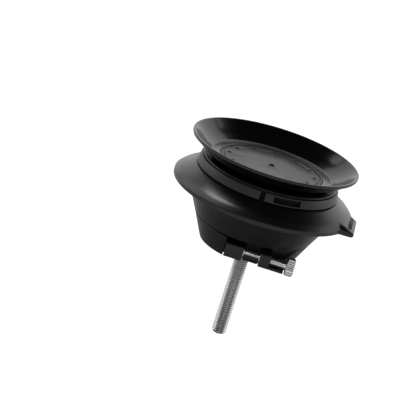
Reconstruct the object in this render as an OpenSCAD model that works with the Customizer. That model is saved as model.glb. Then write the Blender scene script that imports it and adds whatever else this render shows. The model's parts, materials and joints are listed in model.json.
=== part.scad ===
// Phone mount with a suction cup, a turning release ring and a hinged base cap.
// The origin is the centre of the seat face, +Z runs up the cap bolt and the hinge faces -Y.

/* [Suction cup] */
// Outer diameter of the rim
cup_rim_d = 56; // [52:0.5:60]
// Diameter of the flat floor inside the cup
cup_floor_d = 41; // [40:0.5:44]
// Depth from the rim down to the floor
cup_depth = 5.3; // [3:0.1:6]
// Thickness of the rubber
cup_wall = 1.3; // [1:0.1:1.6]
// Thickness of the flange clamped under the centre plate
cup_flange_t = 1.2; // [0.8:0.1:1.4]

/* [Centre plate] */
// Diameter of the plate in the cup's floor
plate_d = 34.6; // [32:0.2:35]
// Thickness of the plate
plate_t = 1.2; // [0.9:0.1:1.8]
// Number of air holes round the plate
vent_count = 12; // [8:1:16]
// Diameter of each air hole
vent_hole_d = 1.2; // [0.8:0.1:1.5]
// Diameter of the circle of air holes
vent_circle_d = 29; // [28:0.2:30.6]
// Diameter of the valve port in the middle
port_d = 2; // [1.5:0.1:2.4]

/* [Collar] */
// Outer diameter that the release ring turns on
collar_d = 45.8; // [45:0.2:46.6]
// Bore that holds the magnet carrier and the cup's neck
pocket_d = 38.2; // [38:0.1:39.6]
// Thickness of the deck under the magnets
deck_t = 1.2; // [0.9:0.1:1.6]
// Height of the lip above the retaining band
collar_lip_h = 0.6; // [0.4:0.1:1]
// Height of the cup's floor above the collar
floor_rise = 1.3; // [1:0.1:1.8]

/* [Retaining band] */
// Height of the band
band_h = 3; // [2.4:0.1:3.4]
// Wall of the band at its upper edge
band_wall = 0.9; // [0.7:0.1:1.3]
// Extra radius of the band at its lower edge
band_flare = 0.5; // [0.2:0.1:0.7]
// Width of the split at the front
band_split = 1.2; // [0.8:0.1:2]
// Height of the key window
key_window_h = 1.8; // [1.4:0.1:2]
// Angle that the key window covers
key_window_angle = 20; // [14:1:26]

/* [Release ring] */
// Outer diameter of the ring
ring_d = 60.6; // [57:0.1:62]
// Height of the ring
ring_h = 5.9; // [5.2:0.1:6.6]
// Height of the upright outer edge
ring_edge_h = 1.7; // [1.2:0.1:2.2]
// Wall of the bearing sleeve inside the ring
ring_sleeve_t = 1.25; // [1:0.05:1.4]
// Thickness of the ring's outer skin
ring_skin_t = 1.4; // [1.1:0.1:1.8]
// Travel of the ring in degrees
ring_travel = 25; // [15:1:28]
// Direction of the thumb tab in degrees
tab_angle = -11; // [-25:1:0]
// Turn of the tab's straight tip from square
tab_skew = 8; // [0:1:10]
// Width of the thumb tab
tab_w = 12.8; // [8:0.1:14]
// How far the tab stands out of the ring
tab_reach = 2.1; // [1.5:0.1:5]
// Thickness of the tab at its tip
tab_t = 1.3; // [1:0.1:1.7]
// Thickness of the slip washer under the ring
slip_washer_t = 0.4; // [0.3:0.1:0.6]

/* [Housing] */
// Height of the housing cone
shell_h = 9.5; // [9:0.1:11]
// Diameter of the housing at its top
shell_top_d = 49.8; // [49.4:0.2:52]
// Depth of the housing's floor under the collar
shell_floor_t = 2; // [1.6:0.1:2.4]
// Number of housing screws
screw_count = 4; // [4:2:4]
// Distance of the housing screws from the axis
screw_circle_r = 17; // [16.6:0.1:17.2]
// Diameter of the housing screws
screw_d = 2; // [1.6:0.1:2.2]

/* [Base cap] */
// Diameter of the seat face
seat_d = 32.2; // [31:0.2:33]
// Diameter of the base cap at the seam
seam_d = 40; // [39.6:0.1:40.6]
// Height of the base cap
base_h = 8.2; // [8:0.1:8.8]
// Thickness of the base cap's floor under the bolt
base_floor_t = 6; // [5:0.1:6.2]
// Diameter of the well round the bolt's head
well_d = 22; // [18:0.5:22]

/* [Hinge] */
// Distance of the hinge axis in front of the centre
hinge_y = 16.2; // [15.8:0.1:16.6]
// Height of the hinge axis
hinge_z = 3.7; // [3.5:0.1:3.9]
// Radius of the hinge knuckles
knuckle_r = 2.4; // [2.2:0.05:2.5]
// Left end of the long ear
long_ear_x = -6.2; // [-7:0.1:-5.6]
// Width of the long ear
long_ear_w = 5.9; // [5.4:0.1:6]
// Width of the housing's knuckle
knuckle_w = 4.9; // [4.4:0.1:5.2]
// Width of the short ear
short_ear_w = 3.4; // [2.8:0.1:3.8]
// Depth of the flat behind the ears, from the centre
hinge_wall_y = 12; // [11.8:0.1:12.6]

/* [Clamp screw] */
// Diameter of the clamp screw
clamp_d = 3; // [2.6:0.1:3]
// Place of the knurled head along the hinge
knurl_x = 14; // [13.2:0.1:15]
// Diameter of the knurled head
knurl_d = 6; // [5:0.1:6.6]
// Width of the knurled head
knurl_w = 2.8; // [2:0.1:3.2]
// Number of grooves round the knurled head
knurl_count = 28; // [20:1:32]

/* [Cap bolt] */
// Diameter of the cap bolt
bolt_d = 5; // [4:0.1:5.2]
// Length of the cap bolt under its head
bolt_len = 40; // [30:1:50]
// Diameter of the bolt's head
bolt_head_d = 8.5; // [7:0.1:9]
// Height of the bolt's head
bolt_head_h = 5; // [3:0.1:5]
// Width of the hex socket across its flats
bolt_hex = 4; // [3:0.5:4]
// Thickness of the bolt's washer
washer_t = 1; // [0.8:0.1:1.2]
// Diameter of the bolt's washer
washer_d = 10; // [9.4:0.2:12]

/* [Magnets and valve] */
// Height of the magnet carrier's rim
carrier_h = 3.6; // [3.2:0.1:4]
// Thickness of the steel keeper plate
keeper_t = 1; // [0.8:0.1:1.2]
// Number of magnets
magnet_count = 6; // [4:1:6]
// Diameter of each magnet
magnet_d = 8; // [6:0.2:8.4]
// Thickness of each magnet
magnet_t = 3; // [2:0.1:3]
// Distance of the magnets from the axis
magnet_circle_r = 9; // [8.8:0.1:9.2]
// Diameter of the valve stem
stem_d = 2.4; // [1.8:0.1:2.6]
// Diameter of the valve's sealing tip
valve_tip_d = 4; // [3.4:0.1:4.2]
// Travel of the valve
valve_travel = 1; // [0.6:0.1:1.1]
// Thickness of the cam bridge
bridge_t = 1.6; // [1.2:0.1:1.7]
// Width of the cam bridge
bridge_w = 5; // [4:0.2:5.4]

/* [Clearances] */
// Gap between the housing and the base cap
seam_gap = 0.3; // [0.2:0.05:0.5]
// Gap between flat faces that slide past each other
slide_gap = 0.1; // [0.08:0.01:0.15]
// Radial gap of a running fit
run_gap = 0.05; // [0.03:0.01:0.08]
// Radial gap round pieces that pass through holes
pass_gap = 0.15; // [0.1:0.01:0.25]
// Gap round pieces that swing past each other
swing_gap = 0.3; // [0.25:0.05:0.4]

/* [Hidden] */
$fn = 96;
// Overlap that keeps a cut from leaving a skin
eps = 0.5;
// Heights of the seams, from the seat face upwards
seam_z = base_h + seam_gap;
shell_top_z = seam_z + shell_h;
ring_z = shell_top_z + slip_washer_t + slide_gap;
ring_top_z = ring_z + ring_h;
band_z = ring_top_z + 2 * slide_gap;
band_top_z = band_z + band_h;
collar_top_z = band_top_z + collar_lip_h;
floor_z = collar_top_z + floor_rise;
rim_z = floor_z + cup_depth;
plate_z = floor_z - plate_t;
flange_z = plate_z - cup_flange_t;
keeper_top_z = flange_z - carrier_h;
deck_top_z = keeper_top_z - keeper_t;
deck_z = deck_top_z - deck_t;
bridge_top_z = deck_z - swing_gap;
bridge_z = bridge_top_z - bridge_t;
// Radii that neighbours share
collar_r = collar_d / 2;
// The cup's neck always reaches past the plate
neck_wall = 1.3;
plate_r = plate_d / 2;
pocket_r = max(pocket_d / 2, plate_r + neck_wall);
neck_r = pocket_r - run_gap;
band_seat_r = collar_r - 0.5;
band_in_r = band_seat_r + run_gap;
band_out_r = band_in_r + band_wall;
ring_bore_r = collar_r + pass_gap;
sleeve_r = ring_bore_r + ring_sleeve_t;
ring_r = ring_d / 2;
shell_pocket_r = seam_d / 2 + 0.45;
spigot_r = shell_pocket_r - run_gap;
spigot_wall = 1.9;
spigot_rise = 2;
spigot_z = seam_z + shell_floor_t + spigot_rise;
boss_r = screw_d * 1.15;
screw_head_r = screw_d * 0.95;
screw_end_gap = 1;
screw_head_h = 1.4;
screw_first = 60;
// Where the key and its window start round the band
key_angle = -80;
// Places along the hinge axis
hinge_washer_t = 0.25;
long_ear_end = long_ear_x + long_ear_w;
knuckle_x = long_ear_end + hinge_washer_t + slide_gap;
short_ear_x = knuckle_x + knuckle_w + hinge_washer_t + slide_gap;
short_ear_end = short_ear_x + short_ear_w;
recess_left = long_ear_x - seam_gap;
recess_right = knurl_x + knurl_w - 1;
clamp_bore_r = clamp_d / 2 + run_gap;
ear_top_z = hinge_z + knuckle_r;
ear_z = hinge_z - knuckle_r;
insert_r = knuckle_r - 0.5;
insert_x = long_ear_x + 1;
insert_end = long_ear_end - 0.6;
// Gap round pieces that are threaded or moulded in
thread_gap = 0.02;
// Return spring under the ring: where its fixed end is, how far it reaches round and its height
spring_angle = 100;
spring_span = 300;
spring_end_h = 1.8;
spring_z = ring_z + 1.6;
spring_lug_t = 1.4;
// Radius of the return spring's wire, and of its coil in the middle of the room under the ring
spring_wire_r = 0.35;
spring_r = (sleeve_r + ring_r - ring_skin_t) / 2;
// Release cam under the bridge and the foot that it presses down
cam_r = 5;
cam_lobe_angle = 12;
cam_start = 60;
cam_steps = 12;
cam_in_r = stem_d / 2 + 0.6;
cam_inset = 0.25;
// How far the bridge's ends reach into the release ring
bridge_reach = 0.7;
foot_rise = valve_travel * cam_lobe_angle / ring_travel;
foot_top_z = bridge_z - foot_rise - 1.5 * slide_gap;
foot_t = 1.1;
valve_tip_t = 0.8;
carrier_bore_r = valve_tip_d / 2 + 0.6;
seal_wire_r = 0.68;
seal_r = pocket_r - thread_gap - seal_wire_r;
seal_groove_half = seal_wire_r + 0.12;
// How far the plate overlaps the cup's flange
plate_overlap = 3.5;
boss_up_r = plate_r - plate_overlap;

// Point of a circle of radius r at angle a
function spot(r, a) = [r * cos(a), r * sin(a)];

// Repeats its children evenly round the axis
module around(count, r, first = 0) {
    for (i = [0 : count - 1])
        rotate([0, 0, first + i * 360 / count]) translate([r, 0, 0]) children();
}

// Tube from one height to another
module tube(z0, z1, r_out, r_in) {
    translate([0, 0, z0]) difference() {
        cylinder(h = z1 - z0, r = r_out);
        translate([0, 0, -eps]) cylinder(h = z1 - z0 + 2 * eps, r = r_in);
    }
}

// Cylinder along the hinge axis
module along_hinge(x0, x1, r) {
    translate([x0, -hinge_y, hinge_z]) rotate([0, 90, 0]) cylinder(h = x1 - x0, r = r);
}

// Block between two corners
module block(low, high) {
    translate(low) cube(high - low);
}

// Square-fronted ear of the base cap
module ear(x0, x1) {
    front = -hinge_y - knuckle_r;
    chamfer = 0.4;
    translate([x0, 0, 0]) rotate([90, 0, 90]) linear_extrude(x1 - x0)
        polygon([[front + chamfer, ear_z], [front, ear_z + chamfer], [front, ear_top_z - chamfer],
                 [front + chamfer, ear_top_z], [-hinge_wall_y + eps, ear_top_z],
                 [-hinge_wall_y + eps, ear_z]]);
}

module base_cap() {
    guard_t = hinge_z - clamp_d / 2 - slide_gap - ear_z;
    relief_r = seam_z - hinge_z - swing_gap;
    color("#26272a") difference() {
        union() {
            difference() {
                cylinder(h = base_h, r1 = seat_d / 2, r2 = seam_d / 2);
                // recess for the hinge
                block([recess_left, -seam_d, -eps], [recess_right, -hinge_wall_y, base_h + eps]);
                // relief that the housing's edge swings through
                difference() {
                    block([-seam_d / 2, -seam_d, hinge_z], [recess_left + eps, -hinge_y, base_h + eps]);
                    along_hinge(-seam_d, seam_d, relief_r);
                }
            }
            ear(long_ear_x, long_ear_end);
            ear(short_ear_x, short_ear_end);
            block([short_ear_x + eps, -hinge_y - knuckle_r + 0.4, ear_z],
                  [knurl_x - swing_gap, -hinge_wall_y + eps, ear_z + guard_t]);
        }
        translate([0, 0, -eps]) cylinder(h = base_h, r = bolt_d / 2 + pass_gap);
        translate([0, 0, base_floor_t]) cylinder(h = base_h, r = well_d / 2);
        along_hinge(long_ear_x - eps, short_ear_end + eps, clamp_bore_r);
        // seat of the threaded insert
        along_hinge(insert_x, insert_end, insert_r + thread_gap);
    }
}

module cap_bolt() {
    head_z = base_floor_t + washer_t;
    tip_chamfer = 0.6;
    neck_undercut = 0.3;
    tip_z = head_z - bolt_len;
    color("#b9bcc0") difference() {
        union() {
            translate([0, 0, head_z]) cylinder(h = bolt_head_h, r = bolt_head_d / 2);
            translate([0, 0, -eps]) cylinder(h = head_z + eps, r = bolt_d / 2 - neck_undercut);
            translate([0, 0, tip_z + tip_chamfer]) cylinder(h = -tip_z - tip_chamfer, r = bolt_d / 2);
            translate([0, 0, tip_z])
                cylinder(h = tip_chamfer, r1 = bolt_d / 2 - tip_chamfer, r2 = bolt_d / 2);
        }
        translate([0, 0, head_z + bolt_head_h / 2])
            cylinder(h = bolt_head_h, r = bolt_hex / 2 / cos(30), $fn = 6);
    }
}

module bolt_washer() {
    color("#a9acb0") tube(base_floor_t, base_floor_t + washer_t, washer_d / 2, bolt_d / 2 + pass_gap);
}

module threaded_insert() {
    color("#b89a55") difference() {
        along_hinge(insert_x + thread_gap, insert_end - thread_gap, insert_r);
        along_hinge(insert_x - eps, insert_end + eps, clamp_bore_r);
    }
}

module clamp_screw() {
    groove_r = 0.22;
    socket_r = clamp_d * 0.48;
    color("#c9ccd0") difference() {
        union() {
            along_hinge(long_ear_x + 0.4, knurl_x + eps, clamp_d / 2);
            along_hinge(knurl_x, knurl_x + knurl_w, knurl_d / 2);
        }
        for (i = [0 : knurl_count - 1])
            let (p = spot(knurl_d / 2 + groove_r / 3, i * 360 / knurl_count))
                translate([knurl_x + knurl_w * 0.12, -hinge_y + p[0], hinge_z + p[1]])
                    rotate([0, 90, 0]) cylinder(h = knurl_w * 0.76, r = groove_r, $fn = 16);
        translate([knurl_x + knurl_w / 2, -hinge_y, hinge_z]) rotate([0, 90, 0])
            cylinder(h = knurl_w, r = socket_r, $fn = 6);
    }
}

module hinge_washers() {
    for (x = [long_ear_end, short_ear_x - hinge_washer_t])
        color("#8d9094") difference() {
            along_hinge(x, x + hinge_washer_t, knuckle_r - 0.3);
            along_hinge(x - eps, x + hinge_washer_t + eps, clamp_bore_r);
        }
}

module housing() {
    head_clearance = 2;
    head_clear_r = bolt_head_d / 2 + head_clearance;
    color("#232427") difference() {
        union() {
            translate([0, 0, seam_z])
                cylinder(h = shell_h, r1 = seam_d / 2 + seam_gap / 2, r2 = shell_top_d / 2);
            // leg and knuckle that hang between the ears
            along_hinge(knuckle_x, knuckle_x + knuckle_w, knuckle_r);
            block([knuckle_x, -hinge_y, hinge_z],
                  [knuckle_x + knuckle_w, -hinge_y + knuckle_r, seam_z + eps]);
            // lug that the return spring's leg bears on
            lug_end = spring_r + spring_wire_r + 0.5;
            rotate([0, 0, spring_angle - spring_span - 8]) rotate_extrude(angle = 6.8)
                polygon([[shell_pocket_r + 1, shell_top_z - spring_lug_t - 1.2],
                         [lug_end, shell_top_z - spring_lug_t], [lug_end, shell_top_z],
                         [shell_pocket_r + 1, shell_top_z]]);
        }
        translate([0, 0, spigot_z]) cylinder(h = shell_h, r = shell_pocket_r);
        translate([0, 0, seam_z + shell_floor_t]) cylinder(h = shell_h, r = screw_circle_r - boss_r);
        translate([0, 0, seam_z - eps]) cylinder(h = shell_h, r = head_clear_r);
        around(screw_count, screw_circle_r, screw_first) {
            translate([0, 0, seam_z - eps]) cylinder(h = shell_h, r = screw_d / 2 + pass_gap);
            translate([0, 0, seam_z - eps])
                cylinder(h = eps + screw_head_h + slide_gap, r = screw_head_r + pass_gap);
        }
        along_hinge(knuckle_x - eps, knuckle_x + knuckle_w + eps, clamp_bore_r);
        // the knuckle's upper front is open, so the pin shows
        block([knuckle_x - eps, -hinge_y - knuckle_r - eps, hinge_z],
              [knuckle_x + knuckle_w + eps, -hinge_y, hinge_z + knuckle_r + eps]);
    }
}

module housing_screws() {
    top = seam_z + slide_gap + screw_head_h;
    color("#9a9da1") around(screw_count, screw_circle_r, screw_first) difference() {
        union() {
            translate([0, 0, seam_z + slide_gap]) cylinder(h = screw_head_h, r = screw_head_r);
            translate([0, 0, top - eps]) cylinder(h = deck_z - screw_end_gap - top, r = screw_d / 2);
        }
        translate([0, 0, seam_z + slide_gap - eps])
            cylinder(h = eps + screw_head_h / 2, r = screw_d * 0.4, $fn = 6);
    }
}

module collar() {
    bore_r = spigot_r - spigot_wall;
    lip_r = band_seat_r + 0.2;
    lip_chamfer = 0.25;
    boss_lift = 0.5;
    key_r = band_in_r + band_wall * 0.7;
    key_z = band_z + (band_h + key_window_h) / 2 - 0.9;
    // the windows let the bridge through at both ends of its travel
    window_margin = 4;
    window_half = asin(bridge_w / 2 / bore_r) + window_margin;
    color("#1f2023") difference() {
        union() {
            rotate_extrude() polygon([
                [bore_r, spigot_z], [spigot_r, spigot_z], [spigot_r, shell_top_z], [collar_r, shell_top_z],
                [collar_r, band_z], [band_seat_r, band_z], [band_seat_r, band_top_z + slide_gap],
                [lip_r, band_top_z + slide_gap], [lip_r, collar_top_z - lip_chamfer],
                [lip_r - lip_chamfer, collar_top_z], [pocket_r, collar_top_z], [pocket_r, deck_top_z],
                [stem_d / 2 + run_gap, deck_top_z], [stem_d / 2 + run_gap, deck_z], [bore_r, deck_z]]);
            around(screw_count, screw_circle_r, screw_first)
                translate([0, 0, spigot_z + boss_lift])
                    cylinder(h = deck_z - spigot_z - boss_lift + deck_t / 2, r = boss_r);
            // key that stops the band from turning
            rotate([0, 0, key_angle]) rotate_extrude(angle = key_window_angle)
                polygon([[band_seat_r - 0.1, key_z], [key_r, key_z + 0.2], [key_r, key_z + 0.7],
                         [band_seat_r - 0.1, key_z + 0.8]]);
        }
        around(screw_count, screw_circle_r, screw_first)
            translate([0, 0, spigot_z - eps])
                cylinder(h = deck_z - spigot_z - screw_end_gap + eps, r = screw_d / 2 + thread_gap);
        for (side = [0, 180])
            rotate([0, 0, side - window_half]) rotate_extrude(angle = ring_travel + 2 * window_half)
                polygon([[bore_r - 0.8, bridge_z - swing_gap], [collar_r + 1, bridge_z - swing_gap],
                         [collar_r + 1, deck_z - slide_gap], [bore_r - 0.8, deck_z - slide_gap]]);
    }
}

module slip_washer() {
    color("#d8d9da") tube(shell_top_z, shell_top_z + slip_washer_t, sleeve_r + 0.3, collar_r + pass_gap);
}

module retaining_band() {
    split_angle = 2 * asin(band_split / 2 / band_out_r);
    band_bevel = 0.2;
    window_z = band_z + (band_h - key_window_h) / 2;
    color("#2c2d30") difference() {
        rotate([0, 0, -90 + split_angle / 2]) rotate_extrude(angle = 360 - split_angle)
            polygon([[band_in_r, band_z], [band_out_r + band_flare - band_bevel, band_z],
                     [band_out_r + band_flare, band_z + band_bevel], [band_out_r, band_top_z - band_bevel],
                     [band_out_r - band_bevel, band_top_z], [band_in_r, band_top_z]]);
        rotate([0, 0, key_angle - 1]) rotate_extrude(angle = key_window_angle + 2)
            polygon([[band_in_r - 1, window_z], [band_out_r + 1, window_z],
                     [band_out_r + 1, window_z + key_window_h], [band_in_r - 1, window_z + key_window_h]]);
    }
}

module release_ring() {
    steps = 12;
    start_slope = 0.62;
    edge_bevel = 0.3;
    edge_r = ring_r - 0.2;
    edge_z = ring_z + ring_edge_h;
    drop = ring_top_z - edge_z;
    function dome(t) = [sleeve_r + (edge_r - sleeve_r) * t,
                        ring_top_z - drop * (start_slope * t + (1 - start_slope) * t * t)];
    function inner_dome(t) = [sleeve_r + (ring_r - ring_skin_t - sleeve_r) * t,
                              ring_top_z - ring_skin_t - 0.5
                              - (drop - 0.9) * (start_slope * t + (1 - start_slope) * t * t)];
    tab_bevel = 0.4;
    tab_root = dome(0.8);
    // the tab's inner faces lie inside the ring's skin
    root_in = ring_r + tab_reach - tab_root[0];
    foot_in = ring_r + tab_reach - (ring_r - 0.75 * ring_skin_t);
    color("#1b1c1f") difference() {
        union() {
            rotate_extrude() polygon(concat(
                [[ring_bore_r, ring_z], [ring_bore_r, ring_top_z]],
                [for (i = [0 : steps]) dome(i / steps)],
                [[ring_r, edge_z - edge_bevel], [ring_r, ring_z + edge_bevel],
                 [ring_r - edge_bevel, ring_z], [ring_r - ring_skin_t, ring_z]],
                [for (i = [0 : steps]) inner_dome(1 - i / steps)],
                [[sleeve_r, ring_z]]));
            // thumb tab
            rotate([0, 0, tab_angle]) translate([ring_r + tab_reach, 0, 0]) rotate([0, 0, tab_skew])
                translate([0, tab_w / 2, 0]) rotate([90, 0, 0]) linear_extrude(tab_w)
                    polygon([[-root_in, tab_root[1]], [-tab_bevel, ring_z + tab_t], [0, ring_z + tab_t - tab_bevel],
                             [0, ring_z + tab_bevel], [-tab_bevel, ring_z], [-foot_in, ring_z]]);
        }
        // notches for the ends of the cam bridge
        for (side = [0, 180])
            rotate([0, 0, side])
                block([collar_r, -bridge_w / 2 - run_gap, ring_z - eps],
                      [collar_r + bridge_reach + run_gap, bridge_w / 2 + run_gap, bridge_top_z + run_gap]);
        // pocket for the fixed end of the return spring
        rotate([0, 0, spring_angle]) translate([spring_r, 0, spring_z])
            cylinder(h = spring_end_h + run_gap, r = spring_wire_r + run_gap, $fn = 24);
    }
}

module cam_bridge() {
    color("#8f9296") difference() {
        union() {
            intersection() {
                block([-ring_r, -bridge_w / 2, bridge_z], [ring_r, bridge_w / 2, bridge_top_z]);
                cylinder(h = rim_z, r = collar_r + bridge_reach);
            }
            translate([0, 0, bridge_z]) cylinder(h = bridge_t, r = cam_r);
            // two rising ramps, in small steps
            for (side = [0, 180], i = [0 : cam_steps - 1])
                let (step = (ring_travel + cam_lobe_angle) / cam_steps,
                     high = side + cam_start - i * step,
                     low = high - step,
                     depth = valve_travel * (i + 0.5) * step / ring_travel)
                    translate([0, 0, bridge_z - depth]) linear_extrude(depth + cam_inset)
                        polygon([spot(cam_in_r, low), spot(cam_r - cam_inset, low),
                                 spot(cam_r - cam_inset, high), spot(cam_in_r, high)]);
        }
        translate([0, 0, bridge_z - eps]) cylinder(h = bridge_t + 2 * eps, r = stem_d / 2 + pass_gap);
    }
}

module return_spring() {
    z = spring_z;
    leg = z - (shell_top_z - spring_lug_t);
    end_r = spring_wire_r * 0.97;
    leg_angle = spring_angle - spring_span;
    color("#b0b3b7") {
        rotate([0, 0, leg_angle - 1]) rotate_extrude(angle = spring_span + 2)
            translate([spring_r, z]) circle(r = spring_wire_r, $fn = 24);
        // upturned end that the ring holds, and the leg that bears on the housing's lug
        rotate([0, 0, spring_angle]) translate([spring_r, 0, z]) cylinder(h = spring_end_h, r = end_r, $fn = 24);
        rotate([0, 0, leg_angle]) translate([spring_r, 0, z - leg]) cylinder(h = leg, r = end_r, $fn = 24);
    }
}

module valve_stem() {
    tip_top = plate_z - slide_gap;
    lug_half = cam_lobe_angle / 2;
    foot_r = cam_r - 0.4;
    foot_disc_t = 0.5;
    root = 0.1;
    color("#303236") {
        translate([0, 0, foot_top_z - foot_t]) cylinder(h = tip_top - foot_top_z + foot_t - root, r = stem_d / 2);
        translate([0, 0, tip_top - valve_tip_t]) cylinder(h = valve_tip_t, r = valve_tip_d / 2);
        translate([0, 0, foot_top_z - foot_t - foot_disc_t]) cylinder(h = foot_disc_t + root, r = foot_r);
        for (side = [0, 180])
            rotate([0, 0, side + cam_start - lug_half])
                rotate_extrude(angle = 2 * lug_half)
                    polygon([[stem_d / 2 - root, foot_top_z - foot_t], [foot_r, foot_top_z - foot_t],
                             [foot_r, foot_top_z], [stem_d / 2 - root, foot_top_z]]);
    }
}

// Wire swept along a helix, closed at both ends
module helix_wire(r, wire_r, z0, z1, turns) {
    sides = 8;
    per_turn = 16;
    rings = turns * per_turn;
    points = [for (i = [0 : rings]) let (a = i * 360 / per_turn, z = z0 + (z1 - z0) * i / rings)
              for (j = [0 : sides - 1]) let (b = j * 360 / sides, p = spot(r + wire_r * cos(b), a))
                  [p[0], p[1], z + wire_r * sin(b)]];
    walls = [for (i = [0 : rings - 1], j = [0 : sides - 1]) let (k = (j + 1) % sides)
             [i * sides + j, (i + 1) * sides + j, (i + 1) * sides + k, i * sides + k]];
    caps = [[for (j = [0 : sides - 1]) j], [for (j = [0 : sides - 1]) rings * sides + sides - 1 - j]];
    polyhedron(points = points, faces = concat(walls, caps), convexity = 10);
}

module valve_spring() {
    wire_r = 0.18;
    coil_gap = 0.27;
    turns = 4;
    tip_z = plate_z - slide_gap - valve_tip_t;
    color("#b0b3b7") helix_wire(stem_d / 2 + coil_gap + wire_r, wire_r, keeper_top_z + wire_r + thread_gap,
                                tip_z - wire_r - thread_gap, turns);
}

module keeper_plate() {
    color("#7f8286") tube(deck_top_z, keeper_top_z, pocket_r - pass_gap, stem_d / 2 + pass_gap);
}

module magnet_carrier() {
    color("#2a2b2e") difference() {
        union() {
            translate([0, 0, keeper_top_z]) cylinder(h = carrier_h, r = pocket_r - pass_gap);
            translate([0, 0, keeper_top_z]) cylinder(h = carrier_h + cup_flange_t, r = boss_up_r);
        }
        translate([0, 0, keeper_top_z - eps]) cylinder(h = carrier_h + cup_flange_t + 2 * eps, r = carrier_bore_r);
        around(magnet_count, magnet_circle_r)
            translate([0, 0, keeper_top_z - eps]) cylinder(h = magnet_t + run_gap + eps, r = magnet_d / 2 + run_gap);
        // groove of the seal ring
        tube(keeper_top_z + carrier_h / 2 - seal_groove_half, keeper_top_z + carrier_h / 2 + seal_groove_half,
             pocket_r + eps, seal_r - seal_wire_r - thread_gap);
    }
}

module magnets() {
    color("#b7bac0") around(magnet_count, magnet_circle_r)
        translate([0, 0, keeper_top_z]) cylinder(h = magnet_t, r = magnet_d / 2);
}

module seal_ring() {
    color("#141416") rotate_extrude()
        translate([seal_r, keeper_top_z + carrier_h / 2]) circle(r = seal_wire_r, $fn = 24);
}

module suction_cup() {
    steps = 10;
    bend = 1.25;
    lip = 0.35;
    floor_r = cup_floor_d / 2;
    rim_r = cup_rim_d / 2;
    under_r = neck_r - 0.3;
    function inside(t) = [floor_r + (rim_r - lip - floor_r) * t, floor_z + cup_depth * pow(t, bend)];
    function outside(t) = [under_r + (rim_r - under_r) * t,
                           collar_top_z + 0.3 + (rim_z - cup_wall - collar_top_z) * pow(t, bend)];
    color("#151517") rotate_extrude() polygon(concat(
        [[boss_up_r + run_gap, flange_z], [boss_up_r + run_gap, plate_z], [plate_r + pass_gap, plate_z],
         [plate_r + pass_gap, floor_z]],
        [for (i = [0 : steps]) inside(i / steps)],
        [[rim_r, rim_z - lip]],
        [for (i = [0 : steps]) outside(1 - i / steps)],
        [[under_r, collar_top_z - 0.2], [neck_r, collar_top_z - 0.4], [neck_r, flange_z]]));
}

module centre_plate() {
    groove_inset = 0.5;
    groove_w = 0.7;
    groove_depth = 0.35;
    color("#26272a") difference() {
        translate([0, 0, plate_z]) cylinder(h = plate_t, r = plate_r);
        around(vent_count, vent_circle_d / 2)
            translate([0, 0, plate_z - eps]) cylinder(h = plate_t + 2 * eps, r = vent_hole_d / 2, $fn = 32);
        translate([0, 0, plate_z - eps]) cylinder(h = plate_t + 2 * eps, r = port_d / 2);
        // shallow groove inside the edge
        tube(floor_z - groove_depth, floor_z + eps, plate_r - groove_inset, plate_r - groove_inset - groove_w);
    }
}

base_cap();
cap_bolt();
bolt_washer();
threaded_insert();
clamp_screw();
hinge_washers();
housing();
housing_screws();
collar();
slip_washer();
retaining_band();
release_ring();
cam_bridge();
return_spring();
valve_stem();
valve_spring();
keeper_plate();
magnet_carrier();
magnets();
seal_ring();
suction_cup();
centre_plate();
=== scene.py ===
"""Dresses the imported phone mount: rounded rubber and moulded surfaces, threads, a knurl and the studio.

Every length is in metres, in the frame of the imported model: +Z runs up the cap bolt and -Y is the hinge.
"""

import json
import math

import bmesh
import bpy
import numpy as np
from mathutils import Matrix, Vector


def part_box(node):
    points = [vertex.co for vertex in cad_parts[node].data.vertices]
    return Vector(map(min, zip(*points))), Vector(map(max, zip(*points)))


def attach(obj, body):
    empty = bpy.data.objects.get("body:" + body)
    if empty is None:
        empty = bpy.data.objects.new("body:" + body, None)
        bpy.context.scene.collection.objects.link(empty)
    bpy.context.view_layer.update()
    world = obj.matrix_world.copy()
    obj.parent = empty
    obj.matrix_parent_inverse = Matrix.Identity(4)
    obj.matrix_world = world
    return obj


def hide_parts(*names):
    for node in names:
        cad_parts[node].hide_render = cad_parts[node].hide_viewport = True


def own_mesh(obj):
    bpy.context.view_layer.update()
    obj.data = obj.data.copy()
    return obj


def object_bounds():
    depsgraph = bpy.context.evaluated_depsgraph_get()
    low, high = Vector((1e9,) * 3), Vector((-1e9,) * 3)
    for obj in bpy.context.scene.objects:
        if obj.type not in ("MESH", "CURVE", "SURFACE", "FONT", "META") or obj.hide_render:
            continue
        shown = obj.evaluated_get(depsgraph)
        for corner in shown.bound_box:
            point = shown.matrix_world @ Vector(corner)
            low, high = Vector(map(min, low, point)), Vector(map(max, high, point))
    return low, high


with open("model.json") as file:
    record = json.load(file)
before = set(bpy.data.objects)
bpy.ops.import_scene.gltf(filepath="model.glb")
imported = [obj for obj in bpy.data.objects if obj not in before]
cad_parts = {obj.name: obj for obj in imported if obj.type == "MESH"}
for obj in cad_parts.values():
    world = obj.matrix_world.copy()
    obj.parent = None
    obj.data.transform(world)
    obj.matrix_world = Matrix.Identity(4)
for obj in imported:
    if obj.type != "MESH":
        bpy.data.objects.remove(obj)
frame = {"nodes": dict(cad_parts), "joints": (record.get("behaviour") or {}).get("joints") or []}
CAD_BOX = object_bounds()

bl_info = {
    "name": "Vacuum Phone Mount Dresser",
    "version": (1, 0, 0),
    "blender": (4, 5, 0),
    "location": "View3D > Sidebar > Phone Mount",
    "description": "Dresses the packed phone mount in rubber, moulded and steel surfaces, and lights it",
    "category": "Object",
}

MM = 0.001


def top(node):
    """Height of a node's highest point."""
    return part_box(node)[1].z


def bottom(node):
    """Height of a node's lowest point."""
    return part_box(node)[0].z


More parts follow.
